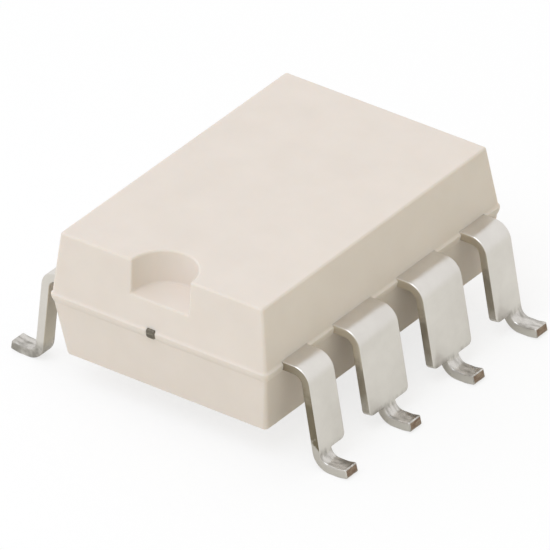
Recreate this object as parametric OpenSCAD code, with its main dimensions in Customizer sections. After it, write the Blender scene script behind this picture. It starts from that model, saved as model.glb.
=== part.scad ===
// Surface-mount optocoupler: a moulded dual-in-line body on eight formed leads, two channels inside.
// X runs across the two lead rows, Y along the body with the index notch at -Y, Z up from the seat.
// Leads 1 to 4 run along the +X side away from the notch, leads 5 to 8 come back along the -X side.
// Leads 1 and 4 are full on their inner side only, leads 5 and 8 are narrow strips throughout.

/* [Body] */
// Width of the body over the band at the parting line
body_w = 6.6; // [6.3:0.05:6.9]
// Length of the body over the band at the parting line
body_l = 9.44; // [9.3:0.02:9.8]
// Height of the seat-side half, from its underside to the parting line
lower_h = 1.59; // [1.4:0.01:1.8]
// Height of the upper half, from the top of the band to the top face
upper_h = 1.615; // [1.45:0.005:1.9]
// Gap between the seat and the underside of the body
standoff = 0.88; // [0.6:0.02:1.2]
// Draft of the side walls of the upper half, in degrees
draft_upper = 7; // [4:0.5:10]
// Draft of the side walls of the lower half, in degrees
draft_lower = 9; // [5:0.5:12]
// How far the band stands out from the upper half
ledge = 0.06; // [0.04:0.01:0.1]
// How far the band stands out from the lower half
flash = 0.03; // [0.01:0.01:0.06]
// Corner radius of the lower half at its underside
foot_corner_r = 0.1; // [0.1:0.02:0.3]
// Edge break round the top face, the underside and the band
edge_break = 0.06; // [0.03:0.01:0.08]

/* [Index notch] */
// Radius of the half-round notch that marks the first lead's end
notch_r = 0.88; // [0.6:0.02:1]
// Depth of the notch below the top face
notch_depth = 0.9; // [0.5:0.05:1.1]

/* [Leads] */
// Distance between neighbouring leads in a row
pitch = 2.54; // [2.5:0.01:2.6]
// Thickness of the lead frame strip
lead_t = 0.25; // [0.2:0.01:0.3]
// Width of a full lead above its step
lead_w = 1.54; // [1.3:0.02:1.7]
// Width of the narrow tip below the step
tip_w = 0.46; // [0.4:0.02:0.6]
// Distance from the body's middle plane to the start of the shoulder bend
shoulder_reach = 3.64; // [3.55:0.01:3.9]
// Inside radius of the shoulder bend
bend_r = 0.18; // [0.1:0.01:0.26]
// Outward lean of the lead from upright, in degrees
lean = 8; // [3:0.5:12]
// Inside radius of the heel
heel_r = 0.28; // [0.2:0.01:0.36]
// Length of the flat that rests on the board
foot_flat = 0.22; // [0.14:0.01:0.4]
// Inside radius of the bend that lifts the toe
toe_r = 0.4; // [0.3:0.05:0.8]
// Lift of the toe from the board, in degrees
toe_lift = 9; // [3:1:14]
// Length of the toe past its bend
toe_l = 0.2; // [0.1:0.01:0.3]
// Height of the step between lead and tip above the seat
step_h = 0.46; // [0.36:0.01:0.6]
// Radius of the lead's corners at the step
step_r = 0.12; // [0.06:0.01:0.2]

/* [Tie bars] */
// Width of the tie bar that ends in each end face
tie_w = 0.27; // [0.2:0.01:0.4]
// Distance of the tie bars from the body's middle plane
tie_x = -0.2; // [-0.4:0.05:0.4]
// How far a cut tie bar stands out of the band
tie_proud = 0.02; // [0.01:0.01:0.05]
// Depth of a tie bar's anchor below the band
tie_depth = 0.45; // [0.4:0.01:0.48]
// Width of a tie bar's anchor
anchor_w = 0.44; // [0.36:0.02:0.7]
// Length of a tie bar's anchor
anchor_l = 0.25; // [0.2:0.01:0.3]

/* [Channels] */
// Insulating gap between the emitter pads and the detector pads
pad_gap = 0.6; // [0.4:0.05:0.8]
// Length of a die pad
pad_l = 1.3; // [1.2:0.02:1.5]
// Width of a die pad
pad_w = 1; // [0.9:0.02:1.1]
// Width of the inner fingers
finger_w = 0.6; // [0.4:0.02:0.7]
// How far the full width of a lead reaches into the body
lock_depth = 0.7; // [0.5:0.02:0.9]
// Distance of the dies from the pads' inner edge
die_inset = 0.45; // [0.42:0.01:0.6]
// Thickness of the bonding layer under a die
attach_t = 0.03; // [0.02:0.005:0.05]
// Margin of the bonding layer round a die
attach_margin = 0.04; // [0.02:0.01:0.06]
// Side of the emitter die
emitter_w = 0.32; // [0.26:0.02:0.4]
// Thickness of the emitter die
emitter_t = 0.2; // [0.15:0.01:0.25]
// Side of the detector die
detector_w = 0.65; // [0.5:0.05:0.75]
// Thickness of the detector die
detector_t = 0.22; // [0.15:0.01:0.25]
// Diameter of the bond wires
wire_d = 0.04; // [0.03:0.005:0.05]
// Radius of the wire loops
loop_r = 0.55; // [0.5:0.01:0.6]
// Diameter of the wires' bonds
bond_d = 0.1; // [0.08:0.01:0.14]
// Height of the wires' bonds
bond_h = 0.03; // [0.02:0.005:0.05]
// Radius of a gel dome where it lies on the lead frame
dome_r = 1.65; // [1.6:0.01:1.8]
// Height of a gel dome
dome_h = 0.95; // [0.9:0.01:1.05]
// Clearance between the gel and the wires, and between the gel and the moulding
gel_clear = 0.02; // [0.01:0.005:0.03]

/* [Hidden] */
$fn = 64;
parting_z = standoff + lower_h;
frame_top = parting_z + lead_t;
body_top = frame_top + upper_h;
upper_w = body_w - 2 * ledge;
upper_l = body_l - 2 * ledge;
corner_r = foot_corner_r + lower_h * tan(draft_lower) + flash;
lead_turn = 90 - lean;
both_radii = bend_r + heel_r + lead_t;
shank_rise = parting_z - bend_r + both_radii * cos(lead_turn) - heel_r - lead_t;
shank_l = shank_rise / sin(lead_turn);
lock_x = body_w / 2 - lock_depth;
neck_end = lock_x + lock_depth / 2;
inner_y = pitch / 2;
outer_y = 3 * pitch / 2;
channel_y = (inner_y + outer_y) * 3 / 8;
die_x = pad_gap / 2 + die_inset;
die_y = channel_y - loop_r;
landing_y = channel_y + loop_r;
cross_y = outer_y + tip_w / 2 - finger_w / 2;
dome_sphere_r = (dome_r * dome_r + dome_h * dome_h) / (2 * dome_h);

mould_colour = [0.90, 0.87, 0.83];
tin_colour = [0.80, 0.79, 0.77];
copper_colour = [0.45, 0.36, 0.27];
gel_colour = [0.82, 0.88, 0.90, 0.5];
bonding_colour = [0.62, 0.62, 0.63];
emitter_colour = [0.48, 0.30, 0.28];
detector_colour = [0.25, 0.27, 0.36];
gold_colour = [0.88, 0.70, 0.30];

// Moves a piece from the first quarter (+X, -Y) to another: across to -X, along to +Y
module quarter(across, along) {
    mirror([across ? 1 : 0, 0, 0]) mirror([0, along ? 1 : 0, 0]) children();
}

// Closed outline across the body from one side's points
module mirrored_outline(side) {
    last = len(side) - 1;
    polygon(concat(side, [for (i = [last:-1:0]) [-side[i].x, side[i].y]]));
}

// One side of the lower half and its band, out to the given half size at the band
function lower_side(reach) = [
    [reach - flash - lower_h * tan(draft_lower) - edge_break, standoff],
    [reach - flash - (lower_h - edge_break) * tan(draft_lower), standoff + edge_break],
    [reach - flash, parting_z],
    [reach, parting_z],
    [reach, frame_top - edge_break / 2],
    [reach - edge_break / 2, frame_top]
];

// One side of the upper half, out to the given half size at its foot
function upper_side(reach) = [
    [reach, frame_top],
    [reach - (upper_h - edge_break) * tan(draft_upper), body_top - edge_break],
    [reach - upper_h * tan(draft_upper) - edge_break, body_top]
];

// Section seen along Y, carried along Y over the given length
module across_y(length) {
    rotate([90, 0, 0]) linear_extrude(length, center = true) children();
}

// Section seen along X, carried along X over the given length
module across_x(length) {
    rotate([90, 0, 90]) linear_extrude(length, center = true) children();
}

// Lower half: drafted walls that run into conical corners
module lower_half() {
    corner_x = body_w / 2 - corner_r;
    corner_y = body_l / 2 - corner_r;
    across_y(2 * corner_y) mirrored_outline(lower_side(body_w / 2));
    across_x(2 * corner_x) mirrored_outline(lower_side(body_l / 2));
    for (x = [-corner_x, corner_x], y = [-corner_y, corner_y])
        translate([x, y, 0])
            rotate_extrude()
                polygon(concat([[0, frame_top], [0, standoff]], lower_side(corner_r)));
}

// Upper half: a drafted block with crisp upright corners
module upper_half() {
    intersection() {
        across_y(body_l) mirrored_outline(upper_side(upper_w / 2));
        across_x(body_w) mirrored_outline(upper_side(upper_l / 2));
    }
}

// Half-round notch, open to the end face and the top
module notch() {
    top_edge_y = upper_l / 2 - upper_h * tan(draft_upper) - edge_break;
    translate([0, -top_edge_y, body_top - notch_depth]) {
        cylinder(r = notch_r, h = upper_h);
        translate([-notch_r, -body_l, 0]) cube([2 * notch_r, body_l, upper_h]);
    }
}

// Filled side view of a bend with its straight runs, out to the given distance from the bend's middle
module bend_fill(radius, turn, before, after) {
    reach = before + after + radius;
    translate([-before, -radius]) square([before, radius]);
    rotate(turn) translate([0, -radius]) square([after, radius]);
    intersection() {
        circle(radius);
        translate([-before, -reach]) square([2 * reach, reach]);
        rotate(turn) translate([after - 2 * reach, -reach]) square([2 * reach, reach]);
    }
}

// Side view of a strip's bend with its straight runs, round the bend's middle
module bend(inside, turn, before, after) {
    difference() {
        bend_fill(inside + lead_t, turn, before, after);
        bend_fill(inside, turn, before, after);
    }
}

// Side view of a formed lead from its lock in the body to the toe: shoulder, heel and toe bends
module lead_profile() {
    translate([shoulder_reach, parting_z - bend_r]) {
        mirror([0, 1]) bend(bend_r, lead_turn, lock_depth, shank_l);
        rotate(-lead_turn)
            translate([shank_l, bend_r + lead_t + heel_r]) {
                bend(heel_r, lead_turn, shank_l / 2, foot_flat);
                rotate(lead_turn)
                    translate([foot_flat, toe_r - heel_r])
                        bend(toe_r, toe_lift, foot_flat / 2, toe_l);
            }
    }
}

// Extra width on one side of a lead, down to the step
module shoulder_outline() {
    reach = lead_w / 2;
    translate([0, step_h]) square([reach - step_r, parting_z]);
    translate([0, step_h + step_r]) square([reach, parting_z]);
    translate([reach - step_r, step_h + step_r]) circle(step_r);
}

// Front view of a lead: a narrow strip, with full width above the step on the sides that have it
module lead_outline(outer_full, inner_full) {
    translate([-tip_w / 2, -lead_t]) square([tip_w, parting_z + 3 * lead_t]);
    if (outer_full) mirror([1, 0]) shoulder_outline();
    if (inner_full) shoulder_outline();
}

// Bent part of a lead, which laps over its plate
module formed_lead(outer_full, inner_full) {
    intersection() {
        across_y(2 * lead_w) lead_profile();
        across_x(2 * body_w) lead_outline(outer_full, inner_full);
    }
}

// Flat part of a lead in the frame's plane
module frame_plate() {
    translate([0, 0, parting_z]) linear_extrude(lead_t) children();
}

// Half the width of a lead on a side that is full or narrow
function half_width(full) = (full ? lead_w : tip_w) / 2;

// Plan of a lead where it leaves the body
module exit_plan(outer_full, inner_full) {
    exit_w = half_width(outer_full) + half_width(inner_full);
    translate([lock_x, -half_width(outer_full)]) square([shoulder_reach - lock_x, exit_w]);
}

// Plan of a lead that carries a die: exit, neck and pad
module pad_plan() {
    translate([0, -inner_y]) exit_plan(true, true);
    translate([die_x, -inner_y - finger_w / 2]) square([neck_end - die_x, finger_w]);
    translate([pad_gap / 2, -die_y - pad_w / 2]) square([pad_l, pad_w]);
}

// Plan of a lead that takes a wire: exit, cross finger and landing finger
module landing_plan(inner_full) {
    finger_x = die_x - finger_w / 2;
    translate([0, -outer_y]) exit_plan(false, inner_full);
    translate([finger_x, -cross_y - finger_w / 2]) square([neck_end - finger_x, finger_w]);
    translate([finger_x, -cross_y]) square([finger_w, cross_y - landing_y + finger_w / 2]);
}

// Lead with a die pad, in the first quarter
module pad_lead() {
    color(tin_colour) {
        frame_plate() pad_plan();
        translate([0, -inner_y, 0]) formed_lead(true, true);
    }
}

// Lead with a wire landing, in the first quarter
module landing_lead(inner_full) {
    color(tin_colour) {
        frame_plate() landing_plan(inner_full);
        translate([0, -outer_y, 0]) formed_lead(false, inner_full);
    }
}

// Plan of the tie bar at the notch end, out to the given length past the band
module tie_bar_plan(proud) {
    translate([tie_x - tie_w / 2, -body_l / 2 - proud]) square([tie_w, tie_depth + proud]);
    translate([tie_x - anchor_w / 2, -body_l / 2 + tie_depth - anchor_l]) square([anchor_w, anchor_l]);
}

// Cut tie bar left in the end face
module tie_bar() {
    color(copper_colour) frame_plate() tie_bar_plan(tie_proud);
}

// Square plate on the die pad of the first quarter
module on_pad(width, height, lift) {
    translate([die_x - width / 2, -die_y - width / 2, frame_top + lift]) cube([width, width, height]);
}

// Space of the bonding layer between a die and its pad
module bonding_layer(die_w) {
    on_pad(die_w + 2 * attach_margin, attach_t, 0);
}

// Space of a die on its bonding layer
module die(die_w, die_t) {
    on_pad(die_w, die_t, attach_t);
}

// Wire loop from the top of a die to the landing finger, thickened by the given clearance
module wire(die_t, grow) {
    die_top = attach_t + die_t;
    start = asin((die_top + bond_h / 2) / loop_r);
    bond_r = bond_d / 2 + grow;
    translate([die_x, -channel_y, frame_top]) {
        rotate([90, 0, 90])
            rotate([0, 0, start])
                rotate_extrude(angle = 180 - start)
                    translate([loop_r, 0]) circle(wire_d / 2 + grow);
        translate([0, loop_r * cos(start), die_top]) cylinder(r = bond_r, h = bond_h + grow);
        translate([0, -loop_r, 0]) cylinder(r = bond_r, h = bond_h + grow);
    }
}

// Adhesive under the emitter
module emitter_bond() {
    color(bonding_colour) bonding_layer(emitter_w);
}

// Adhesive under the detector
module detector_bond() {
    color(bonding_colour) bonding_layer(detector_w);
}

// Light-emitting die
module emitter_die() {
    color(emitter_colour) die(emitter_w, emitter_t);
}

// Light-sensing die
module detector_die() {
    color(detector_colour) die(detector_w, detector_t);
}

// Wire of the emitter
module emitter_wire() {
    color(gold_colour) wire(emitter_t, 0);
}

// Wire of the detector
module detector_wire() {
    color(gold_colour) wire(detector_t, 0);
}

// Cap of clear gel over one channel, swollen by the given clearance
module gel_cap(grow) {
    radius = dome_sphere_r + grow;
    reach = 2 * dome_r;
    intersection() {
        translate([0, -channel_y, frame_top + dome_h - dome_sphere_r]) sphere(radius);
        translate([-reach, -channel_y - reach, frame_top]) cube([2 * reach, 2 * reach, 2 * dome_h]);
    }
}

// What stands on the lead frame inside one channel
module channel_hollow() {
    bonding_layer(emitter_w);
    die(emitter_w, emitter_t);
    wire(emitter_t, gel_clear);
    quarter(true, false) {
        bonding_layer(detector_w);
        die(detector_w, detector_t);
        wire(detector_t, gel_clear);
    }
}

// Gel dome with its dies and wires taken out
module gel_dome() {
    color(gel_colour) difference() {
        gel_cap(0);
        channel_hollow();
    }
}

// One-piece moulding round the lead frame and the gel domes
module body() {
    color(mould_colour) difference() {
        union() {
            lower_half();
            upper_half();
        }
        notch();
        for (across = [false, true], along = [false, true])
            quarter(across, along) frame_plate() {
                pad_plan();
                landing_plan(!across);
            }
        for (along = [false, true]) {
            quarter(false, along) frame_plate() tie_bar_plan(edge_break);
            quarter(false, along) gel_cap(gel_clear);
        }
    }
}

body();
landing_lead(true);  // lead_1
pad_lead();  // lead_2
quarter(false, true) pad_lead();  // lead_3
quarter(false, true) landing_lead(true);  // lead_4
quarter(true, true) landing_lead(false);  // lead_5
quarter(true, true) pad_lead();  // lead_6
quarter(true, false) pad_lead();  // lead_7
quarter(true, false) landing_lead(false);  // lead_8
tie_bar();  // tie_bar_front
quarter(false, true) tie_bar();  // tie_bar_rear
emitter_bond();  // emitter_bond_a
quarter(false, true) emitter_bond();  // emitter_bond_b
quarter(true, false) detector_bond();  // detector_bond_a
quarter(true, true) detector_bond();  // detector_bond_b
emitter_die();  // emitter_die_a
quarter(false, true) emitter_die();  // emitter_die_b
quarter(true, false) detector_die();  // detector_die_a
quarter(true, true) detector_die();  // detector_die_b
emitter_wire();  // emitter_wire_a
quarter(false, true) emitter_wire();  // emitter_wire_b
quarter(true, false) detector_wire();  // detector_wire_a
quarter(true, true) detector_wire();  // detector_wire_b
gel_dome();  // gel_dome_a
quarter(false, true) gel_dome();  // gel_dome_b
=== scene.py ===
"""Surface-mount optocoupler: a soft-edged moulding and formed leads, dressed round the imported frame."""

import logging
import math
from dataclasses import dataclass, field
from enum import Enum
from typing import Callable, Iterable

import bmesh
import bpy
from bmesh.types import BMEdge, BMesh, BMFace, BMVert
from mathutils import Matrix, Vector


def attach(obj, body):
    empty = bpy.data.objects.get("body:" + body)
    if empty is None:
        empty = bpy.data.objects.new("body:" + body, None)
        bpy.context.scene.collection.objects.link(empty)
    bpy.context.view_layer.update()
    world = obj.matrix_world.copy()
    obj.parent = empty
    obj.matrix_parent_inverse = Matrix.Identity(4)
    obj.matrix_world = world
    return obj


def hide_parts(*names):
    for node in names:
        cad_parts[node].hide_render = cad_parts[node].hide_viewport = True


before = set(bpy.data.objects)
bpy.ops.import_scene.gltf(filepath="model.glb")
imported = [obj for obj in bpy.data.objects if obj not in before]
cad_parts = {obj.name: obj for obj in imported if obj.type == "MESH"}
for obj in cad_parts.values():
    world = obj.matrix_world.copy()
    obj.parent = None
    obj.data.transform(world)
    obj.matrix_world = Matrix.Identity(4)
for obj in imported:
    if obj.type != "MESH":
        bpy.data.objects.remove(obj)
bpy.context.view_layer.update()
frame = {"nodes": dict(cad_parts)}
LOG = logging.getLogger("optocoupler")
# Pieces are modelled in millimetres and brought to metres when they are settled.
MM = 0.001
# Two places nearer than this, in millimetres, are the same place.
SAME = 1e-4
# An edge turned by more than this, in degrees, stays sharp in the shading.
SHARP = 42.0
# An edge of the body turned by more than this, in degrees, is a rim that gets rounded.
CREASE = 20.0
Triple = tuple[float, float, float]
Colour = Triple
Outline = list[tuple[float, float]]


def picked(geometry: Iterable, kind: type) -> list:
    """List the elements of one type among mixed vertices, edges and faces."""
    return [element for element in geometry if isinstance(element, kind)]


def edges_where(bm: BMesh, test: Callable[[BMEdge], bool]) -> list[BMEdge]:
    """List the edges of a mesh in work that meet a test."""
    return [edge for edge in bm.edges if test(edge)]


def raised(bm: BMesh, outline: Outline, z: float, height: float) -> None:
    """Draw an outline and raise it to a solid.

    Args:
        bm: The mesh in work.
        outline: Its corners in order.
        z: Height of its underside, in millimetres.
        height: How far it is raised, in millimetres.
    """
    base = bm.faces.new([bm.verts.new((x, y, z)) for x, y in outline])
    made = bmesh.ops.extrude_face_region(bm, geom=[base])["geom"]
    bmesh.ops.translate(bm, vec=(0, 0, height), verts=picked(made, BMVert))
    bmesh.ops.recalc_face_normals(bm, faces=bm.faces)


def at_height(edge: BMEdge, z: float) -> bool:
    """Tell whether both ends of an edge lie at a height."""
    return all(abs(vert.co.z - z) < SAME for vert in edge.verts)


def soften(bm: BMesh, edges: list[BMEdge], radius: float, segments: int) -> None:
    """Round edges to a radius in millimetres, with a number of faces across each rounding."""
    bmesh.ops.bevel(bm, geom=edges, offset=radius, offset_type="OFFSET", affect="EDGES",
                    segments=segments, profile=0.5, material=-1, clamp_overlap=True)


def lengthen(bm: BMesh, faces: list[BMFace], step: Vector) -> list[BMFace]:
    """Push end faces outwards and leave no wall behind them.

    Args:
        bm: The mesh in work.
        faces: The end faces.
        step: How far they go, in millimetres.

    Returns:
        The new end faces.
    """
    made = bmesh.ops.extrude_face_region(bm, geom=faces)["geom"]
    bmesh.ops.translate(bm, vec=step, verts=picked(made, BMVert))
    bmesh.ops.delete(bm, geom=faces, context="FACES")
    return picked(made, BMFace)


def turn(bm: BMesh, faces: list[BMFace], centre: Vector, degrees: float, steps: int) -> list[BMFace]:
    """Carry end faces round a bend whose axis runs along Y.

    Args:
        bm: The mesh in work.
        faces: The end faces.
        centre: A point on the bend's axis.
        degrees: The bend, positive from +X down.
        steps: Segments along the bend.

    Returns:
        The new end faces.
    """
    made = bmesh.ops.spin(bm, geom=faces, cent=centre, axis=(0, 1, 0), dvec=(0, 0, 0),
                          angle=math.radians(degrees), steps=steps, use_merge=False)
    bmesh.ops.delete(bm, geom=faces, context="FACES")
    return picked(made["geom_last"], BMFace)


def as_object(bm: BMesh, name: str) -> bpy.types.Object:
    """Turn a finished mesh in work into an object of the scene, still in millimetres.

    Args:
        bm: The mesh in work, which is freed.
        name: Name of the object.

    Returns:
        The object.
    """
    bmesh.ops.recalc_face_normals(bm, faces=bm.faces)
    mesh = bpy.data.meshes.new(name)
    bm.to_mesh(mesh)
    bm.free()
    made = bpy.data.objects.new(name, mesh)
    bpy.context.scene.collection.objects.link(made)
    return made


def carve(target: bpy.types.Object, cutter: bpy.types.Object) -> None:
    """Take one object out of another and throw the cutter away.

    Args:
        target: What is carved.
        cutter: What is taken out.
    """
    modifier = target.modifiers.new("carve", "BOOLEAN")
    modifier.operation = "DIFFERENCE"
    modifier.solver = "EXACT"
    modifier.object = cutter
    graph = bpy.context.evaluated_depsgraph_get()
    carved = bpy.data.meshes.new_from_object(target.evaluated_get(graph))
    spent = (target.data, cutter.data)
    target.modifiers.clear()
    target.data = carved
    bpy.data.objects.remove(cutter)
    for mesh in spent:
        bpy.data.meshes.remove(mesh)


class Shader:
    """A node material in the making, with its coordinates in millimetres."""

    octave_share: float = 0.55

    def __init__(self, name: str) -> None:
        """Start an empty node material.

        Args:
            name: Name of the material.
        """
        self.material = bpy.data.materials.new(name)
        self.material.use_nodes = True
        self.tree = self.material.node_tree
        self.tree.nodes.clear()
        self.output = self.node("ShaderNodeOutputMaterial")

    def node(self, kind: str, **inputs: object) -> bpy.types.Node:
        """Add a node.

        Args:
            kind: Blender's name of the node type.
            **inputs: Node properties, or socket values under the socket's name with _ for a space.

        Returns:
            The node.
        """
        made = self.tree.nodes.new(kind)
        for key, value in inputs.items():
            socket = made.inputs.get(key.replace("_", " "))
            if socket is None:
                setattr(made, key, value)
            else:
                socket.default_value = value
        return made

    def link(self, source: bpy.types.NodeSocket, target: bpy.types.NodeSocket) -> None:
        """Join two sockets."""
        self.tree.links.new(source, target)

    def place(self, scale: Triple = (1.0, 1.0, 1.0)) -> bpy.types.NodeSocket:
        """Give the place on the object in millimetres.

        Args:
            scale: Squeeze of the pattern along each axis.

        Returns:
            The vector socket.
        """
        place = self.node("ShaderNodeTexCoord")
        mapping = self.node("ShaderNodeMapping", Scale=tuple(s / MM for s in scale))
        self.link(place.outputs["Object"], mapping.inputs["Vector"])
        return mapping.outputs["Vector"]

    def noise(self, per_mm: float, detail: float = 2.0,
              scale: Triple = (1.0, 1.0, 1.0)) -> bpy.types.NodeSocket:
        """Add a cloudy pattern.

        Args:
            per_mm: Clouds in a millimetre.
            detail: Octaves of finer clouds.
            scale: Squeeze along each axis.

        Returns:
            The socket of its strength, about 0.5 on average.
        """
        made = self.node("ShaderNodeTexNoise", Scale=per_mm, Detail=detail, Roughness=self.octave_share)
        self.link(self.place(scale), made.inputs["Vector"])
        return made.outputs["Fac"]

    def height(self) -> bpy.types.NodeSocket:
        """Give the height above the seat.

        Returns:
            The socket of the height, in millimetres.
        """
        parts = self.node("ShaderNodeSeparateXYZ")
        self.link(self.place(), parts.inputs["Vector"])
        return parts.outputs["Z"]

    def spread(self, value: bpy.types.NodeSocket, low: float, high: float,
               start: float = 0.3, end: float = 0.7) -> bpy.types.NodeSocket:
        """Map a pattern to a range.

        Args:
            value: The pattern.
            low: What it gives at start.
            high: What it gives at end.
            start: The pattern's low end.
            end: The pattern's high end.

        Returns:
            The socket of the mapped value.
        """
        made = self.node("ShaderNodeMapRange", From_Min=start, From_Max=end, To_Min=low, To_Max=high)
        self.link(value, made.inputs["Value"])
        return made.outputs["Result"]

    def blend(self, amount: bpy.types.NodeSocket, first: object, second: object) -> bpy.types.NodeSocket:
        """Mix two colours by a pattern.

        Args:
            amount: The pattern, from 0 for the first to 1 for the second.
            first: A colour, or the socket of one.
            second: A colour, or the socket of one.

        Returns:
            The socket of the mixed colour.
        """
        made = self.node("ShaderNodeMix", data_type="RGBA")
        self.link(amount, made.inputs[0])
        for socket, colour in ((made.inputs[6], first), (made.inputs[7], second)):
            if isinstance(colour, tuple):
                socket.default_value = (*colour, 1.0)
            else:
                self.link(colour, socket)
        return made.outputs[2]

    def relief(self, height: bpy.types.NodeSocket, depth: float, strength: float) -> bpy.types.NodeSocket:
        """Add a fine relief.

        Args:
            height: The pattern that is raised.
            depth: Its depth, in millimetres.
            strength: How much of it shows.

        Returns:
            The socket of the normal.
        """
        made = self.node("ShaderNodeBump", Distance=depth * MM, Strength=strength)
        self.link(height, made.inputs["Height"])
        return made.outputs["Normal"]

    def surface(self, **inputs: object) -> bpy.types.Material:
        """Close the material with a principled surface.

        Args:
            **inputs: Values or sockets of the surface, under the socket's name with _ for a space.

        Returns:
            The finished material.
        """
        made = self.node("ShaderNodeBsdfPrincipled")
        for key, value in inputs.items():
            socket = made.inputs[key.replace("_", " ")]
            if isinstance(value, bpy.types.NodeSocket):
                self.link(value, socket)
            else:
                socket.default_value = value
        self.link(made.outputs["BSDF"], self.output.inputs["Surface"])
        return self.material


@dataclass(frozen=True)
class MouldFinish:
    """Cream moulding compound with a fine matte grain."""

    light: Colour = (0.800, 0.727, 0.660)
    deep: Colour = (0.772, 0.700, 0.632)
    rough: tuple[float, float] = (0.56, 0.68)
    gloss: float = 0.2
    milky: float = 0.25
    milky_depth: float = 0.2
    milky_tint: Colour = (1.0, 0.75, 0.55)

    def material(self) -> bpy.types.Material:
        """Make the material.

        Returns:
            The material of the body.
        """
        shader = Shader("cream_moulding")
        clouds = shader.spread(shader.noise(per_mm=0.9, detail=4.0), 0.0, 1.0)
        patches = shader.noise(per_mm=9.0, detail=2.0)
        grain = shader.noise(per_mm=34.0, detail=3.0)
        return shader.surface(
            Base_Color=shader.blend(clouds, self.light, self.deep),
            Roughness=shader.spread(patches, *self.rough),
            Specular_IOR_Level=self.gloss,
            Subsurface_Weight=self.milky,
            Subsurface_Radius=self.milky_tint,
            Subsurface_Scale=self.milky_depth * MM,
            Normal=shader.relief(grain, depth=0.004, strength=0.25),
        )


@dataclass(frozen=True)
class TinFinish:
    """Satin tin plate, smoother on the formed tip than on the broad faces."""

    name: str = "tin_plate"
    bright: Colour = (0.752, 0.725, 0.688)
    dull: Colour = (0.692, 0.664, 0.628)
    tip: Colour = (0.650, 0.625, 0.590)
    streak: Colour = (0.340, 0.322, 0.292)
    rough_face: tuple[float, float] = (0.31, 0.41)
    rough_tip: tuple[float, float] = (0.25, 0.42)
    tip_fade: tuple[float, float] = (0.4, 0.6)

    def material(self) -> bpy.types.Material:
        """Make the material.

        Returns:
            The material of the plated faces.
        """
        shader = Shader(self.name)
        clouds = shader.spread(shader.noise(per_mm=1.3, detail=4.0), 0.0, 1.0)
        drawn = shader.noise(per_mm=3.0, detail=4.0, scale=(1.0, 2.5, 1.0))
        streaks = shader.spread(drawn, 0.0, 1.0, start=0.42, end=0.66)
        above = shader.spread(shader.height(), 0.0, 1.0, *self.tip_fade)
        rough = shader.node("ShaderNodeMix", data_type="FLOAT")
        shader.link(above, rough.inputs[0])
        shader.link(shader.spread(streaks, *self.rough_tip, start=0.0, end=1.0), rough.inputs[2])
        shader.link(shader.spread(shader.noise(per_mm=6.0), *self.rough_face), rough.inputs[3])
        face = shader.blend(clouds, self.bright, self.dull)
        return shader.surface(
            Base_Color=shader.blend(above, shader.blend(streaks, self.tip, self.streak), face),
            Metallic=1.0,
            Roughness=rough.outputs[0],
            Normal=shader.relief(shader.noise(per_mm=18.0, detail=3.0), depth=0.003, strength=0.2),
        )


@dataclass(frozen=True)
class ShearFinish:
    """Sheared copper alloy, brown with a smear of tin drawn over it."""

    name: str = "sheared_copper"
    brown: Colour = (0.210, 0.140, 0.095)
    smear: Colour = (0.360, 0.285, 0.215)
    metallic: float = 0.55
    rough: tuple[float, float] = (0.42, 0.6)

    def material(self) -> bpy.types.Material:
        """Make the material.

        Returns:
            The material of a sheared end.
        """
        shader = Shader(self.name)
        drag = shader.noise(per_mm=5.0, detail=4.0, scale=(1.0, 1.0, 3.0))
        smeared = shader.spread(drag, 0.0, 1.0, start=0.42, end=0.68)
        return shader.surface(
            Base_Color=shader.blend(smeared, self.brown, self.smear),
            Metallic=self.metallic,
            Roughness=shader.spread(drag, *self.rough),
            Normal=shader.relief(shader.noise(per_mm=24.0, detail=3.0), depth=0.006, strength=0.4),
        )


@dataclass(frozen=True)
class TrimAndShadeFinish:
    """Trimmed strip side: dark metal partly painted shade, a painted wall reflection up high, tinned foot.
    """

    name: str = "trimmed_side_painted_shade"
    # The dark and pale tones are partly the trimmed metal's own colour and partly painted shade.
    dark: Colour = (0.340, 0.305, 0.244)
    pale: Colour = (0.490, 0.447, 0.374)
    # Paler colour high on the side: a painted reflection of the lit body wall.
    painted_wall_reflection: Colour = (0.654, 0.602, 0.504)
    foot: Colour = (0.600, 0.575, 0.535)
    wall_reflection_fade: tuple[float, float] = (1.6, 2.1)
    foot_fade: tuple[float, float] = (0.34, 1.05)
    ragged_by: float = 0.2
    rough: tuple[float, float] = (0.56, 0.44)

    def material(self) -> bpy.types.Material:
        """Make the material.

        Returns:
            The material of a trimmed side.
        """
        shader = Shader(self.name)
        drawn = shader.noise(per_mm=2.4, detail=4.0, scale=(1.0, 1.0, 0.5))
        side = shader.blend(shader.spread(drawn, 0.0, 1.0, start=0.4, end=0.7), self.dark, self.pale)
        shift = shader.spread(shader.noise(per_mm=5.0, detail=3.0), -self.ragged_by, self.ragged_by)
        ragged = shader.node("ShaderNodeMath", operation="ADD")
        shader.link(shader.height(), ragged.inputs[0])
        shader.link(shift, ragged.inputs[1])
        above = shader.spread(ragged.outputs[0], 0.0, 1.0, *self.foot_fade)
        # Painted reflection of the lit body wall, taking over towards the shoulder.
        high = shader.spread(ragged.outputs[0], 0.0, 1.0, *self.wall_reflection_fade)
        return shader.surface(
            Base_Color=shader.blend(above, self.foot, shader.blend(high, side, self.painted_wall_reflection)),
            Metallic=1.0,
            Roughness=shader.spread(drawn, *self.rough),
            Normal=shader.relief(shader.noise(per_mm=20.0, detail=3.0), depth=0.004, strength=0.3),
        )


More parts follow.
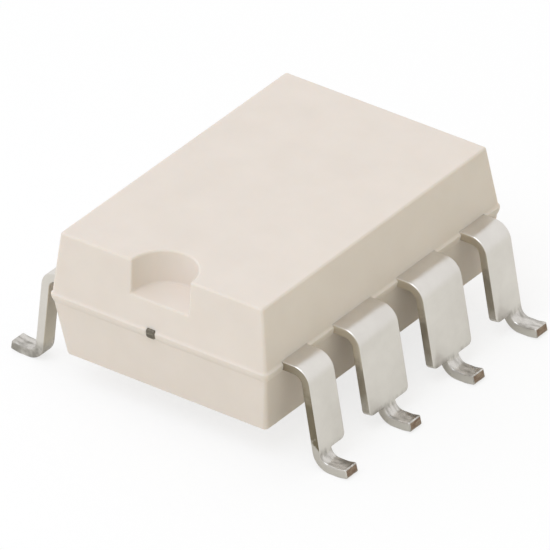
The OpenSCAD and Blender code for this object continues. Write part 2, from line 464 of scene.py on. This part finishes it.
@dataclass(frozen=True)
class InnerFinish:
    """Finish of a piece inside the moulding."""

    name: str
    first: Colour
    second: Colour
    per_mm: float
    metallic: float = 0.0
    rough: float = 0.4
    clear: float = 0.0
    rough_share: float = 0.2

    def material(self) -> bpy.types.Material:
        """Make the material.

        Returns:
            The material of the inner piece.
        """
        shader = Shader(self.name)
        pattern = shader.noise(self.per_mm, detail=3.0)
        smooth, coarse = self.rough * (1 - self.rough_share), self.rough * (1 + self.rough_share)
        return shader.surface(
            Base_Color=shader.blend(shader.spread(pattern, 0.0, 1.0), self.first, self.second),
            Metallic=self.metallic,
            Roughness=shader.spread(pattern, smooth, coarse),
            Transmission_Weight=self.clear,
            Normal=shader.relief(pattern, depth=0.002, strength=0.2),
        )


@dataclass(frozen=True)
class FloorFinish:
    """White floor that shows near white and keeps a pale shadow, and throws a warm light back."""

    white: Colour = (0.86, 0.86, 0.86)
    warm: Colour = (0.875, 0.868, 0.825)
    glow: float = 1.05
    glow_share: float = 0.72
    mirror_share: float = 0.25

    def material(self) -> bpy.types.Material:
        """Make the material.

        Returns:
            The material of the floor.
        """
        shader = Shader("white_floor")
        matte = shader.node("ShaderNodeBsdfDiffuse")
        shown = seen_by_rays(shader.tree, mirror_share=0.0)
        shader.link(shader.blend(shown, self.warm, self.white), matte.inputs["Color"])
        glow = shader.node("ShaderNodeEmission", Strength=self.glow)
        both = shader.node("ShaderNodeMixShader")
        seen = seen_by_rays(shader.tree, self.mirror_share)
        shader.link(shader.spread(seen, 0.0, self.glow_share, 0.0, 1.0), both.inputs["Fac"])
        shader.link(matte.outputs[0], both.inputs[1])
        shader.link(glow.outputs[0], both.inputs[2])
        shader.link(both.outputs[0], shader.output.inputs["Surface"])
        return shader.material


def seen_by_rays(tree: bpy.types.NodeTree, mirror_share: float = 1.0) -> bpy.types.NodeSocket:
    """Tell the rays that show the background from those that light the object.

    Args:
        tree: The node tree in work.
        mirror_share: What glossy and transmission rays count for.

    Returns:
        A socket that is 1 for camera rays, the share for mirrored rays and 0 for the rest.
    """
    path = tree.nodes.new("ShaderNodeLightPath")
    total = path.outputs["Is Camera Ray"]
    for name in ("Is Glossy Ray", "Is Transmission Ray"):
        added = tree.nodes.new("ShaderNodeMath")
        added.operation = "MULTIPLY_ADD"
        added.inputs[1].default_value = mirror_share
        tree.links.new(path.outputs[name], added.inputs[0])
        tree.links.new(total, added.inputs[2])
        total = added.outputs[0]
    return total


# Tin painted darker and warmer for inner faces towards the body: painted shade.
INNER_TIN_SHADE = TinFinish(
    "inner_tin_painted_shade", bright=(0.580, 0.535, 0.450), dull=(0.535, 0.490, 0.405), tip=(0.550, 0.515, 0.455))
# A darker copy of the trimmed side for the wire-landing leads' outer sides: painted shade.
OUTER_SIDE_SHADE = TrimAndShadeFinish(
    "outer_side_painted_shade", dark=(0.165, 0.141, 0.096), pale=(0.240, 0.206, 0.146), painted_wall_reflection=(0.360, 0.317, 0.246),
    foot_fade=(0.56, 0.72))
TIE_BAR_END = ShearFinish("tie_bar_end", brown=(0.130, 0.115, 0.090), smear=(0.300, 0.270, 0.215))


@dataclass(frozen=True)
class Strip:
    """Sizes of the lead frame's strip and of its bends, in millimetres and degrees."""

    thickness: float = 0.25
    underside: float = 2.47
    pitch: float = 2.54
    full_half: float = 0.77
    tip_half: float = 0.23
    lock_x: float = 2.6
    neck_end: float = 2.95
    shoulder_x: float = 3.597
    shoulder_r: float = 0.23
    lean: float = 8.0
    heel_r: float = 0.24
    foot_flat: float = 0.23
    toe_r: float = 0.4
    toe_lift: float = 11.0
    toe_l: float = 0.2
    step_r: float = 0.15
    edge_r: float = 0.034
    shoulder_steps: int = 10
    heel_steps: int = 8
    toe_steps: int = 3
    step_steps: int = 6
    edge_steps: int = 3
    finger_w: float = 0.6
    pad_inner_x: float = 0.3
    pad_l: float = 1.3
    pad_w: float = 1.0
    die_x: float = 0.75
    die_y: float = 1.355
    landing_end_y: float = 2.155

    @property
    def lead_turn(self) -> float:
        """Turn of the shoulder and of the heel."""
        return 90.0 - self.lean

    @property
    def shank_l(self) -> float:
        """Work out the straight shank between shoulder and heel.

        Returns:
            Its length.
        """
        turned = math.radians(self.lead_turn)
        radii = self.shoulder_r + self.heel_r + self.thickness
        rise = self.underside - self.shoulder_r + radii * math.cos(turned) - self.heel_r - self.thickness
        return rise / math.sin(turned)

    @property
    def shank_way(self) -> Vector:
        """Direction of the shank on the +X side, from shoulder to heel."""
        turned = math.radians(self.lead_turn)
        return Vector((math.cos(turned), 0.0, -math.sin(turned)))

    @property
    def toe_way(self) -> Vector:
        """Direction of the toe on the +X side."""
        lifted = math.radians(self.toe_lift)
        return Vector((math.cos(lifted), 0.0, math.sin(lifted)))

    @property
    def heel_middle(self) -> Vector:
        """Work out the middle of the heel's bend.

        Returns:
            Its place on the +X side.
        """
        turned = math.radians(self.lead_turn)
        across = Vector((math.sin(turned), 0.0, math.cos(turned)))
        start = Vector((self.shoulder_x, 0.0, self.underside - self.shoulder_r))
        reach = self.shoulder_r + self.thickness + self.heel_r
        return start + across * reach + self.shank_way * self.shank_l


STRIP = Strip()


class LeadRole(Enum):
    """What a lead carries inside and which of its sides are full."""

    PAD = "die pad, full on both sides"
    LANDING = "wire landing, full on its inner side"
    SLIM_LANDING = "wire landing, narrow throughout"


class LeadFace(Enum):
    """Material places of a lead."""

    PLATED = 0
    TOE = 1
    # Trimmed sides: partly their own dark colour, partly painted shade.
    SIDE = 2
    # Faces towards the body: tin painted darker as shade.
    INNER_SHADE = 3
    # Outer sides of the wire-landing leads: painted darker still as shade.
    OUTER = 4


@dataclass
class FormedLead:
    """One gull-wing lead, from its die pad or wire landing to its toe.

    It is modelled in the quarter at +X and -Y and mirrored to its place.
    """

    number: int
    strip: Strip = STRIP
    toe_facing: float = 0.97
    side_facing: float = 0.95
    inner_facing: float = 0.5

    @property
    def name(self) -> str:
        """Name of the lead's node."""
        return f"lead_{self.number}"

    @property
    def role(self) -> LeadRole:
        """Tell what the lead is for.

        Returns:
            Its role, by its number.
        """
        if self.number in (2, 3, 6, 7):
            return LeadRole.PAD
        return LeadRole.LANDING if self.number in (1, 4) else LeadRole.SLIM_LANDING

    @property
    def mirrored(self) -> Vector:
        """Signs that carry the first quarter to the lead's own."""
        near_row, notch_end = self.number < 5, self.number in (1, 2, 7, 8)
        return Vector((1.0 if near_row else -1.0, 1.0 if notch_end else -1.0, 1.0))

    @property
    def middle_y(self) -> float:
        """Middle of the tip in the first quarter."""
        return -self.strip.pitch * (0.5 if self.role is LeadRole.PAD else 1.5)

    def plan(self) -> Outline:
        """Outline the flat part of the lead, starting at its shoulder.

        Returns:
            The corners in the first quarter.
        """
        strip, y = self.strip, self.middle_y
        end, lock, neck = strip.shoulder_x, strip.lock_x, strip.neck_end
        full, tip, half = strip.full_half, strip.tip_half, strip.finger_w / 2
        if self.role is LeadRole.PAD:
            inner, outer = strip.pad_inner_x, strip.pad_inner_x + strip.pad_l
            low, high = -strip.die_y - strip.pad_w / 2, -strip.die_y + strip.pad_w / 2
            shoulder = [(end, y - full), (end, y - tip), (end, y + tip), (end, y + full)]
            finger = [(lock, y + full), (lock, y + half), (outer, y + half)]
            pad = [(outer, high), (inner, high), (inner, low), (outer, low)]
            back = [(outer, y - half), (lock, y - half), (lock, y - full)]
            return [*shoulder, *finger, *pad, *back]
        low, high = y - tip, y - tip + strip.finger_w
        near, far, last = strip.die_x - half, strip.die_x + half, -strip.landing_end_y
        inside = [(far, high), (far, last), (near, last), (near, low)]
        if self.role is LeadRole.LANDING:
            return [(end, low), (end, y + tip), (end, y + full), (lock, y + full), (lock, high), *inside]
        return [(end, low), (end, y + tip), (neck, y + tip), (neck, high), *inside]

    def form(self, bm: BMesh) -> None:
        """Carry the plate's end over the shoulder to the step, and its middle lane on to the toe.

        Args:
            bm: The plate in work.
        """
        strip = self.strip
        ends = [f for f in bm.faces if all(abs(v.co.x - strip.shoulder_x) < SAME for v in f.verts)]
        shoulder_middle = Vector((strip.shoulder_x, 0, strip.underside - strip.shoulder_r))
        ends = turn(bm, ends, shoulder_middle, strip.lead_turn, strip.shoulder_steps)
        ends = lengthen(bm, ends, strip.shank_way * strip.shank_l)
        tip = [f for f in ends if abs(f.calc_center_median().y - self.middle_y) < SAME]
        soften(bm, edges_where(bm, self.step_corner), strip.step_r, strip.step_steps)
        tip = turn(bm, tip, strip.heel_middle, -strip.lead_turn, strip.heel_steps)
        tip = lengthen(bm, tip, Vector((strip.foot_flat, 0, 0)))
        toe_middle = Vector((strip.heel_middle.x + strip.foot_flat, 0, strip.toe_r + strip.thickness))
        tip = turn(bm, tip, toe_middle, -strip.toe_lift, strip.toe_steps)
        lengthen(bm, tip, strip.toe_way * strip.toe_l)

    def round_edges(self, bm: BMesh) -> None:
        """Round every edge outside the body.

        Args:
            bm: The formed lead in work.
        """
        sharp = edges_where(bm, lambda e: e.calc_face_angle(0.0) > math.radians(SHARP) and any(
            v.co.x > self.strip.neck_end for v in e.verts))
        soften(bm, sharp, self.strip.edge_r, self.strip.edge_steps)

    def step_corner(self, edge: BMEdge) -> bool:
        """Tell whether an edge is an outer corner of the step, through the strip's thickness.

        Args:
            edge: The edge.

        Returns:
            True for a corner of the step.
        """
        full, heel_z = self.strip.full_half, self.strip.heel_middle.z
        outside = all(abs(abs(v.co.y - self.middle_y) - full) < SAME for v in edge.verts)
        return outside and all(v.co.z < heel_z for v in edge.verts)

    def part_faces(self, bm: BMesh) -> None:
        """Give the sheared toe, the sides (partly painted shade) and the inner face (painted shade) their
        finishes.

        Args:
            bm: The rounded lead in work.
        """
        heel_x, toe_way = self.strip.heel_middle.x, self.strip.toe_way
        side = LeadFace.PLATED if self.role is LeadRole.SLIM_LANDING else LeadFace.SIDE
        # The wire-landing leads' outer sides take the copy painted darker as shade.
        outer = LeadFace.OUTER if self.role is LeadRole.LANDING else side
        bm.normal_update()
        for face in bm.faces:
            past_heel = face.calc_center_median().x > heel_x
            if past_heel and face.normal.dot(toe_way) > self.toe_facing:
                face.material_index = LeadFace.TOE.value
            # Trimmed sides: partly their own dark colour, partly painted shade, darker still on outer
            # sides.
            elif face.normal.y < -self.side_facing:
                face.material_index = outer.value
            elif face.normal.y > self.side_facing:
                face.material_index = side.value
            # Faces towards the body get the tin painted darker as shade.
            elif face.normal.x < -self.inner_facing:
                face.material_index = LeadFace.INNER_SHADE.value

    def build(self) -> bpy.types.Object:
        """Model the lead.

        Returns:
            The lead, in millimetres.
        """
        bm = bmesh.new()
        raised(bm, self.plan(), self.strip.underside, self.strip.thickness)
        self.form(bm)
        bmesh.ops.recalc_face_normals(bm, faces=bm.faces)
        self.round_edges(bm)
        self.part_faces(bm)
        bmesh.ops.scale(bm, vec=self.mirrored, verts=bm.verts)
        return as_object(bm, f"formed_{self.name}")

    def dress(self, materials: list[bpy.types.Material]) -> None:
        """Model the lead and give it its finishes."""
        settle(self.build(), self.name, materials)


@dataclass
class TieBar:
    """Sheared stub of the lead frame's tie bar in one end face, with its anchor in the moulding."""

    name: str
    end: float
    strip: Strip = STRIP
    face_y: float = 4.72
    middle_x: float = -0.2
    half_w: float = 0.135
    depth: float = 0.45
    anchor_half: float = 0.22
    anchor_l: float = 0.25
    proud: float = 0.02
    side_r: float = 0.07
    sheared_r: float = 0.05
    round_steps: int = 4

    @property
    def neck_y(self) -> float:
        """Where the stub meets its anchor, from the middle outwards."""
        return self.face_y - self.depth + self.anchor_l

    def plan(self, proud: float) -> Outline:
        """Outline the bar and its anchor.

        Args:
            proud: How far the bar stands out of the end face.

        Returns:
            The corners at the bar's own end.
        """
        outer, inner = self.face_y + proud, self.face_y - self.depth
        anchor = [(self.anchor_half, inner), (self.anchor_half, self.neck_y)]
        right = [*anchor, (self.half_w, self.neck_y), (self.half_w, outer)]
        left = [(-x, y) for x, y in reversed(right)]
        return [(self.middle_x + x, self.end * y) for x, y in [*right, *left]]

    def draw(self, bm: BMesh, proud: float) -> None:
        """Raise the bar, proud of the end face, and round the stub's four long edges."""
        raised(bm, self.plan(proud), self.strip.underside, self.strip.thickness)
        soften(bm, edges_where(bm, self.long_edge), self.side_r, self.round_steps)

    def long_edge(self, edge: BMEdge) -> bool:
        """Tell whether an edge runs along the stub.

        Args:
            edge: The edge.

        Returns:
            True for one of the stub's four long edges.
        """
        first, last = (vert.co for vert in edge.verts)
        on_stub = all(self.end * at.y > self.neck_y - SAME for at in (first, last))
        on_side = all(abs(abs(at.x - self.middle_x) - self.half_w) < SAME for at in (first, last))
        return on_stub and on_side and abs(first.y - last.y) > SAME

    def build(self) -> bpy.types.Object:
        """Model the bar.

        Returns:
            The bar, in millimetres.
        """
        bm = bmesh.new()
        self.draw(bm, self.proud)
        outer = self.end * (self.face_y + self.proud)
        sheared = edges_where(bm, lambda e: all(abs(v.co.y - outer) < SAME for v in e.verts))
        soften(bm, sheared, self.sheared_r, self.round_steps)
        return as_object(bm, f"sheared_{self.name}")

    def dress(self, material: bpy.types.Material) -> None:
        """Model the bar and give it its finish."""
        settle(self.build(), self.name, [material])


@dataclass(frozen=True)
class Level:
    """One outline of the moulding: a rectangle with round corners at a height, in millimetres."""

    height: float
    half_w: float
    half_l: float
    radius: float

    def corner(self, sign_x: float, sign_y: float) -> Vector:
        """Middle of one round corner."""
        x, y = self.half_w - self.radius, self.half_l - self.radius
        return Vector((sign_x * x, sign_y * y, self.height))


@dataclass
class Moulding:
    """The one-piece moulded body: two drafted halves, the band between them and the index notch."""

    half_w: float = 3.3
    half_l: float = 4.72
    standoff: float = 0.88
    lower_h: float = 1.59
    band_h: float = 0.25
    upper_h: float = 1.615
    draft_upper: float = 7.0
    draft_lower: float = 9.0
    ledge: float = 0.045
    lower_flare: float = 0.01
    lower_corner_r: float = 0.12
    upper_corner_r: float = 0.08
    bead_foot: float = -0.055
    bead_crest: float = 0.165
    bead_under: float = 0.075
    bead_r: float = 0.035
    cove_r: float = 0.12
    cove_turn: float = 50.0
    bead_corner_r: float = 0.16
    bead_end_corner_r: float = 0.08
    bead_steps: int = 8
    corner_steps: int = 6
    top_edge_r: float = 0.065
    top_edge_steps: int = 4
    foot_edge_r: float = 0.05
    foot_edge_steps: int = 3
    notch_r: float = 0.88
    notch_depth: float = 0.9
    notch_set_back: float = 0.06
    notch_steps: int = 36
    mouth_reach: float = 0.4
    channel_y: float = 1.905
    dome_r: float = 1.65
    dome_h: float = 0.95
    dome_turns: int = 48
    dome_rings: int = 32
    gel_clear: float = 0.02
    leads: list[FormedLead] = field(default_factory=list)
    tie_bars: list[TieBar] = field(default_factory=list)

    @property
    def parting(self) -> float:
        """Height of the parting line."""
        return self.standoff + self.lower_h

    @property
    def band_top(self) -> float:
        """Height of the band's upper face."""
        return self.parting + self.band_h

    @property
    def top(self) -> float:
        """Height of the top face."""
        return self.band_top + self.upper_h

    @property
    def notch_floor(self) -> float:
        """Height of the notch's floor."""
        return self.top - self.notch_depth

    def upper_in(self, z: float) -> float:
        """How far the upper half stands in from the band at a height."""
        return self.ledge + (z - self.band_top) * math.tan(math.radians(self.draft_upper))

    def level(self, z: float, inward: float, radius: float) -> Level:
        """Give an outline that stands in from the band by a distance."""
        return Level(z, self.half_w - inward, self.half_l - inward, radius)

    def levels(self) -> list[Level]:
        """List the outlines from the underside up.

        Returns:
            The levels of the lower half, the round bead between the halves and the upper half.
        """
        lower_in = self.lower_h * math.tan(math.radians(self.draft_lower)) + self.lower_flare
        made = [self.level(self.standoff, lower_in, self.lower_corner_r)]
        section = self.bead()
        widest = min(inward for _, inward in section)
        narrowest = max(inward for _, inward in section)
        for height, inward in section:
            share = (inward - widest) / (narrowest - widest)
            radius = self.bead_corner_r + (self.bead_end_corner_r - self.bead_corner_r) * share
            made.append(self.level(self.parting + height, inward, radius))
        made.append(self.level(self.top, self.upper_in(self.top), self.upper_corner_r))
        return made

    def bead(self) -> Outline:
        """Draw the section of the bead: its undercut, its round crest and the cove above it.

        Returns:
            Heights above the parting line and how far the section stands in there, from the foot up.
        """
        shares = [step / self.bead_steps for step in range(self.bead_steps + 1)]
        turned = math.radians(self.cove_turn)
        both = self.bead_r + self.cove_r
        high, deep = self.bead_crest + both * math.sin(turned), both * (1 - math.cos(turned))
        rise = self.bead_crest - self.bead_foot
        arc = [(math.sin(turned * share), 1 - math.cos(turned * share)) for share in shares]
        under = [(self.bead_foot + rise * share, self.bead_under * (1 - share) ** 2) for share in shares]
        crest = [(self.bead_crest + self.bead_r * up, self.bead_r * inward) for up, inward in arc[1:]]
        cove = [(high - self.cove_r * up, deep - self.cove_r * inward) for up, inward in arc[-2::-1]]
        return [*under, *crest, *cove]

    def stack(self) -> BMesh:
        """Raise the outlines from the underside to the top face.

        Returns:
            A new mesh in work.
        """
        levels = self.levels()
        bm = bmesh.new()
        bmesh.ops.create_grid(bm, x_segments=1, y_segments=1, size=1.0)
        first = levels[0]
        bmesh.ops.scale(bm, vec=(first.half_w, first.half_l, 1.0), verts=bm.verts)
        bmesh.ops.translate(bm, vec=(0, 0, first.height), verts=bm.verts)
        bmesh.ops.bevel(bm, geom=bm.verts[:], offset=first.radius, offset_type="OFFSET",
                        affect="VERTICES", segments=self.corner_steps, profile=0.5, material=-1)
        made = bmesh.ops.extrude_face_region(bm, geom=bm.faces[:])["geom"]
        self.shift(picked(made, BMVert), first, levels[1])
        tops = picked(made, BMFace)
        for below, above in zip(levels[1:], levels[2:]):
            tops = lengthen(bm, tops, Vector((0, 0, 0)))
            self.shift([v for f in tops for v in f.verts], below, above)
        bmesh.ops.recalc_face_normals(bm, faces=bm.faces)
        return bm

    @staticmethod
    def shift(verts: list[BMVert], below: Level, above: Level) -> None:
        """Move an outline from one level to the next, corner by corner.

        Args:
            verts: The outline's vertices, on the level below.
            below: Where they are.
            above: Where they go.
        """
        for vert in verts:
            signs = (math.copysign(1.0, vert.co.x), math.copysign(1.0, vert.co.y))
            way = (vert.co - below.corner(*signs)) / below.radius
            vert.co = above.corner(*signs) + Vector((way.x, way.y, 0.0)) * above.radius

    def notch_cutter(self) -> bpy.types.Object:
        """Make the slot that the index notch is cut with.

        Returns:
            A half-round slot drawn out past the end face.
        """
        radius, middle_y = self.notch_r, self.upper_in(self.top) + self.notch_set_back - self.half_l
        turns = [math.pi * step / self.notch_steps for step in range(self.notch_steps + 1)]
        half_round = [(radius * math.cos(turned), middle_y + radius * math.sin(turned)) for turned in turns]
        mouth = [(-radius, middle_y - radius), (radius, middle_y - radius)]
        bm = bmesh.new()
        raised(bm, [*half_round, *mouth], self.notch_floor, self.upper_h)
        return as_object(bm, "notch_cutter")

    def frame_cutter(self) -> bpy.types.Object:
        """Gather the lead frame's plates and tie bars.

        Returns:
            The seats of the lead frame as one cutter.
        """
        bm = bmesh.new()
        for lead in self.leads:
            outline = [(x * lead.mirrored.x, y * lead.mirrored.y) for x, y in lead.plan()]
            raised(bm, outline, self.parting, self.band_h)
        for bar in self.tie_bars:
            bar.draw(bm, bar.depth)
        return as_object(bm, "frame_cutter")

    def dome_cutter(self) -> bpy.types.Object:
        """Make the caps that leave room for the gel.

        Returns:
            Both caps as one cutter.
        """
        sphere_r = (self.dome_r ** 2 + self.dome_h ** 2) / (2 * self.dome_h)
        middle_z = self.band_top + self.dome_h - sphere_r
        bm = bmesh.new()
        for side in (-1.0, 1.0):
            made = bmesh.ops.create_uvsphere(bm, u_segments=self.dome_turns, v_segments=self.dome_rings,
                                             radius=sphere_r + self.gel_clear)
            bmesh.ops.translate(bm, vec=(0, side * self.channel_y, middle_z), verts=made["verts"])
        cut = bmesh.ops.bisect_plane(bm, geom=[*bm.verts, *bm.edges, *bm.faces], clear_inner=True,
                                     plane_co=(0, 0, self.band_top), plane_no=(0, 0, 1))
        bmesh.ops.holes_fill(bm, edges=picked(cut["geom_cut"], BMEdge), sides=0)
        return as_object(bm, "dome_cutter")

    def round_notch(self, body: bpy.types.Object) -> None:
        """Round the top face's outline and every edge of the notch.

        Args:
            body: The body with its notch cut.
        """
        bm = bmesh.new()
        bm.from_mesh(body.data)
        bmesh.ops.remove_doubles(bm, verts=bm.verts, dist=SAME)
        rims = edges_where(bm, lambda e: e.calc_face_angle(0.0) > math.radians(CREASE) and (
            at_height(e, self.top) or self.notch_edge(e)))
        soften(bm, rims, self.top_edge_r, self.top_edge_steps)
        bm.to_mesh(body.data)
        bm.free()

    def notch_edge(self, edge: BMEdge) -> bool:
        """Tell whether an edge bounds the notch's floor or its mouth in the end face.

        Args:
            edge: The edge.

        Returns:
            True for the floor's outline and the two upright edges of the mouth.
        """
        ends = [vert.co for vert in edge.verts]
        if not all(abs(at.x) < self.notch_r + SAME and at.z > self.notch_floor - SAME for at in ends):
            return False
        upright = all(abs(abs(at.x) - self.notch_r) < SAME for at in ends)
        in_front = all(at.y < self.mouth_reach - self.half_l for at in ends)
        return at_height(edge, self.notch_floor) or (upright and in_front)

    def build(self) -> bpy.types.Object:
        """Model the body.

        Returns:
            The body, in millimetres.
        """
        bm = self.stack()
        foot = edges_where(bm, lambda e: at_height(e, self.standoff))
        soften(bm, foot, self.foot_edge_r, self.foot_edge_steps)
        body = as_object(bm, "moulded_body")
        carve(body, self.notch_cutter())
        self.round_notch(body)
        carve(body, self.frame_cutter())
        carve(body, self.dome_cutter())
        return body

    def dress(self, material: bpy.types.Material) -> None:
        """Model the body and give it its finish."""
        settle(self.build(), "body", [material])


def settle(piece: bpy.types.Object, node: str, materials: list[bpy.types.Material]) -> None:
    """Bring a finished piece to metres, dress it and let it stand for its node.

    Args:
        piece: The piece, in millimetres.
        node: The node that it stands for.
        materials: Its materials in order.
    """
    piece.data.transform(Matrix.Scale(MM, 4))
    for material in materials:
        piece.data.materials.append(material)
    piece.data.shade_smooth()
    piece.data.set_sharp_from_angle(angle=math.radians(SHARP))
    normals = piece.modifiers.new("flat_faces", "WEIGHTED_NORMAL")
    normals.keep_sharp = True
    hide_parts(node)
    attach(piece, "root")
    LOG.info("%s: %d faces for node %s", piece.name, len(piece.data.polygons), node)


@dataclass(frozen=True)
class Studio:
    """Camera, lamps, world and floor."""

    azimuth: float = 38.438
    elevation: float = 32.259
    roll: float = -1.985
    distance: float = 400.2
    aim_right: float = -0.107
    aim_up: float = 1.602
    lens: float = 1081.0
    sensor: float = 36.0
    near: float = 0.01
    far: float = 20.0
    sky_left: Colour = (1.08, 1.07, 1.13)
    sky_right: Colour = (0.490, 0.468, 0.350)
    key_power: float = 0.27
    key_tint: Colour = (0.915, 1.0, 1.14)
    key_from: Triple = (0.03, -0.45, 0.89)
    key_distance: float = 0.3
    key_size: float = 0.22
    floor_half: float = 1000.0

    def camera(self) -> None:
        """Set the camera at the photograph's angle."""
        angles = (self.azimuth, self.elevation, self.roll)
        azimuth, elevation, roll = (math.radians(angle) for angle in angles)
        level = math.cos(elevation)
        right = Vector((math.cos(azimuth), math.sin(azimuth), 0.0))
        back = Vector((math.sin(azimuth) * level, -math.cos(azimuth) * level, math.sin(elevation)))
        up = back.cross(right)
        across = right * math.cos(roll) + up * math.sin(roll)
        upward = up * math.cos(roll) - right * math.sin(roll)
        data = bpy.data.cameras.new("view")
        data.lens, data.sensor_width = self.lens, self.sensor
        data.clip_start, data.clip_end = self.near, self.far
        camera = bpy.data.objects.new("view", data)
        turned = Matrix((across, upward, back)).transposed().to_4x4()
        place = (across * self.aim_right + upward * self.aim_up + back * self.distance) * MM
        camera.matrix_world = Matrix.Translation(place) @ turned
        bpy.context.scene.collection.objects.link(camera)
        bpy.context.scene.camera = camera

    def lamps(self) -> None:
        """Hang the soft key lamp."""
        data = bpy.data.lights.new("key", "AREA")
        data.shape, data.size, data.energy = "DISK", self.key_size, self.key_power
        data.color = self.key_tint
        lamp = bpy.data.objects.new("key", data)
        way = Vector(self.key_from).normalized()
        lamp.location = way * self.key_distance
        lamp.rotation_mode = "QUATERNION"
        lamp.rotation_quaternion = way.to_track_quat("Z", "Y")
        bpy.context.scene.collection.objects.link(lamp)

    def world(self) -> None:
        """Fill the room with plain light, and with white where it shows."""
        world = bpy.data.worlds.new("studio")
        world.use_nodes = True
        tree = world.node_tree
        lit = tree.nodes["Background"]
        place = tree.nodes.new("ShaderNodeTexCoord")
        parts = tree.nodes.new("ShaderNodeSeparateXYZ")
        tree.links.new(place.outputs["Generated"], parts.inputs["Vector"])
        rightness = tree.nodes.new("ShaderNodeMapRange")
        rightness.inputs["From Min"].default_value = -1.0
        tree.links.new(parts.outputs["X"], rightness.inputs["Value"])
        graded = tree.nodes.new("ShaderNodeMix")
        graded.data_type = "RGBA"
        tree.links.new(rightness.outputs["Result"], graded.inputs[0])
        graded.inputs[6].default_value = (*self.sky_left, 1.0)
        graded.inputs[7].default_value = (*self.sky_right, 1.0)
        tree.links.new(graded.outputs[2], lit.inputs["Color"])
        shown = tree.nodes.new("ShaderNodeBackground")
        shown.inputs["Color"].default_value = (1.0, 1.0, 1.0, 1.0)
        chosen = tree.nodes.new("ShaderNodeMixShader")
        tree.links.new(seen_by_rays(tree), chosen.inputs["Fac"])
        tree.links.new(lit.outputs[0], chosen.inputs[1])
        tree.links.new(shown.outputs[0], chosen.inputs[2])
        tree.links.new(chosen.outputs[0], tree.nodes["World Output"].inputs["Surface"])
        bpy.context.scene.world = world

    def floor(self) -> None:
        """Lay the floor under the feet."""
        bm = bmesh.new()
        bmesh.ops.create_grid(bm, x_segments=1, y_segments=1, size=self.floor_half)
        floor = as_object(bm, "floor")
        floor.data.transform(Matrix.Scale(MM, 4))
        floor.data.materials.append(FloorFinish().material())

    def build(self) -> None:
        """Set up the whole studio."""
        bpy.context.scene.view_settings.view_transform = "Standard"
        self.camera()
        self.lamps()
        self.world()
        self.floor()


@dataclass
class InnerPieces:
    """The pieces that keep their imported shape: adhesive, dies, wires and gel."""

    finishes: dict[str, InnerFinish] = field(default_factory=lambda: {
        "bond": InnerFinish("silver_adhesive", (0.34, 0.34, 0.35), (0.24, 0.24, 0.25),
                            per_mm=22.0, metallic=0.6, rough=0.55),
        "emitter_die": InnerFinish("emitter_crystal", (0.20, 0.075, 0.065), (0.14, 0.05, 0.045),
                                   per_mm=9.0, metallic=0.2, rough=0.25),
        "detector_die": InnerFinish("detector_crystal", (0.05, 0.06, 0.11), (0.035, 0.04, 0.08),
                                    per_mm=9.0, metallic=0.3, rough=0.2),
        "wire": InnerFinish("gold_wire", (0.75, 0.45, 0.075), (0.66, 0.38, 0.06),
                            per_mm=30.0, metallic=1.0, rough=0.25),
        "gel_dome": InnerFinish("clear_gel", (0.90, 0.94, 0.95), (0.84, 0.90, 0.92),
                                per_mm=2.0, rough=0.08, clear=0.9),
    })

    def dress(self, nodes: dict[str, bpy.types.Object]) -> None:
        """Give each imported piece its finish.

        Args:
            nodes: The frame's nodes by name.
        """
        for family, finish in self.finishes.items():
            material = finish.material()
            for name, node in sorted(nodes.items()):
                if family in name:
                    node.data.materials.clear()
                    node.data.materials.append(material)
                    LOG.info("%s: finish %s", name, material.name)


def main() -> None:
    """Build the studio and the pieces in order."""
    logging.basicConfig(level=logging.INFO, format="%(name)s: %(message)s")
    Studio().build()
    leads = [FormedLead(number) for number in range(1, 9)]
    tie_bars = [TieBar("tie_bar_front", -1.0), TieBar("tie_bar_rear", 1.0)]
    Moulding(leads=leads, tie_bars=tie_bars).dress(MouldFinish().material())
    lead_finishes = (TinFinish(), ShearFinish(), TrimAndShadeFinish(), INNER_TIN_SHADE, OUTER_SIDE_SHADE)
    lead_materials = [finish.material() for finish in lead_finishes]
    for lead in leads:
        lead.dress(lead_materials)
    tie_bar_material = TIE_BAR_END.material()
    for bar in tie_bars:
        bar.dress(tie_bar_material)
    InnerPieces().dress(frame["nodes"])


if __name__ == "__main__":
    main()
